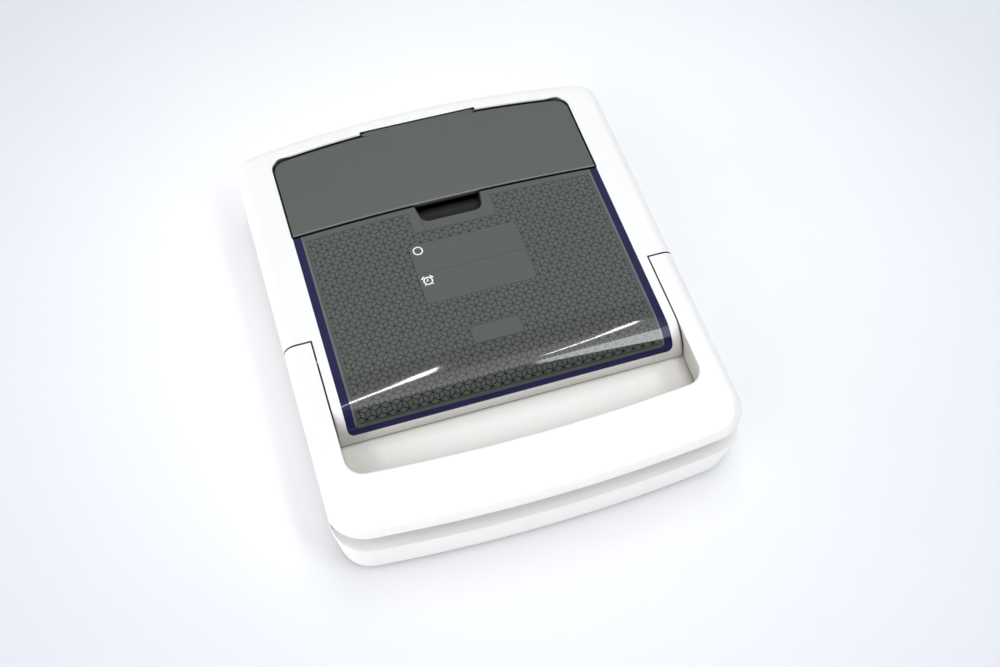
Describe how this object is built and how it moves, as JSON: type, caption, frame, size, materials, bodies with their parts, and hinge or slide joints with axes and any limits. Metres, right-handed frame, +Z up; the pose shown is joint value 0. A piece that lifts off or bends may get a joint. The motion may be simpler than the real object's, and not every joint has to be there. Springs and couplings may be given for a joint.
{
  "type": "western blot incubation device",
  "caption": "Low white bench device with a hinged lid, a flip-up cover over solution wells, sprung pressure plates and a bail handle that is also the lid's catch.",
  "frame": {"origin": "middle of the footprint, on the bench surface", "axes": "+Z up; -Y is the operator's side with the grip bar; +X to the operator's right"},
  "size_m": [0.222, 0.268, 0.05],
  "materials": {
    "white_housing": "fine satin moulded",
    "stage": "smooth satin",
    "well_plastic": "smooth",
    "navy_panel": "gloss",
    "grey_film": "gloss film with a fine printed line pattern",
    "grey_cover": "plain satin",
    "black_plastic": "satin",
    "rubber": "matt",
    "steel": "bright",
    "glass": "polished, tempered"
  },
  "bodies": {
    "base": {"base_shell": "white_housing", "base_deck": "white_housing", "stage_plate": "stage", "rubber_feet": "rubber", "base_screws": "steel", "catch_strikers": "steel", "lid_bumpers": "rubber", "lid_hinge_pin": "steel"},
    "lid": {"lid_shell": "white_housing", "lid_hinge_bushes": "black_plastic", "lid_liner": "white_housing", "liner_screws": "steel", "panel_plate": "navy_panel", "label_film": "grey_film", "well_insert": "well_plastic", "cover_hinge_brackets": "black_plastic", "cover_hinge_pin": "steel", "handle_pin_left": "steel", "handle_pin_right": "steel", "plate_springs": "steel", "bar_springs": "steel"},
    "cover": {"well_cover": "grey_cover", "cover_seal": "rubber"},
    "handle": {"handle_shell": "white_housing", "grip_liner": "white_housing", "arm_liner_left": "white_housing", "arm_liner_right": "white_housing", "grip_screws": "steel", "handle_bush_left": "black_plastic", "handle_bush_right": "black_plastic", "catch_magnets": "steel"},
    "low_pressure_plate": {"plate_carrier": "well_plastic", "pressure_glass": "glass"},
    "high_pressure_bar": {"pressure_bar": "well_plastic", "bar_pad": "rubber"}
  },
  "joints": [
    {"name": "lid_hinge", "type": "hinge", "parent": "base", "child": "lid", "pos_m": [0, 0.1298, 0.0347], "axis": [-1, 0, 0], "range_deg": [0, 95]},
    {"name": "cover_hinge", "type": "hinge", "parent": "lid", "child": "cover", "pos_m": [0, 0.118, 0.0487], "axis": [-1, 0, 0], "range_deg": [0, 95]},
    {"name": "handle_pivot", "type": "hinge", "parent": "lid", "child": "handle", "pos_m": [0, -0.0244, 0.046], "axis": [-1, 0, 0], "range_deg": [0, 70]},
    {"name": "plate_press", "type": "slide", "parent": "lid", "child": "low_pressure_plate", "axis": [0, 0, 1], "range_m": [0, 0.0015], "stiffness_N_per_m": 2000, "springref_m": -0.003, "deforming": ["plate_springs"]},
    {"name": "bar_press", "type": "slide", "parent": "lid", "child": "high_pressure_bar", "axis": [0, 0, 1], "range_m": [0, 0.0015], "stiffness_N_per_m": 2000, "springref_m": -0.003, "deforming": ["bar_springs"]}
  ]
}
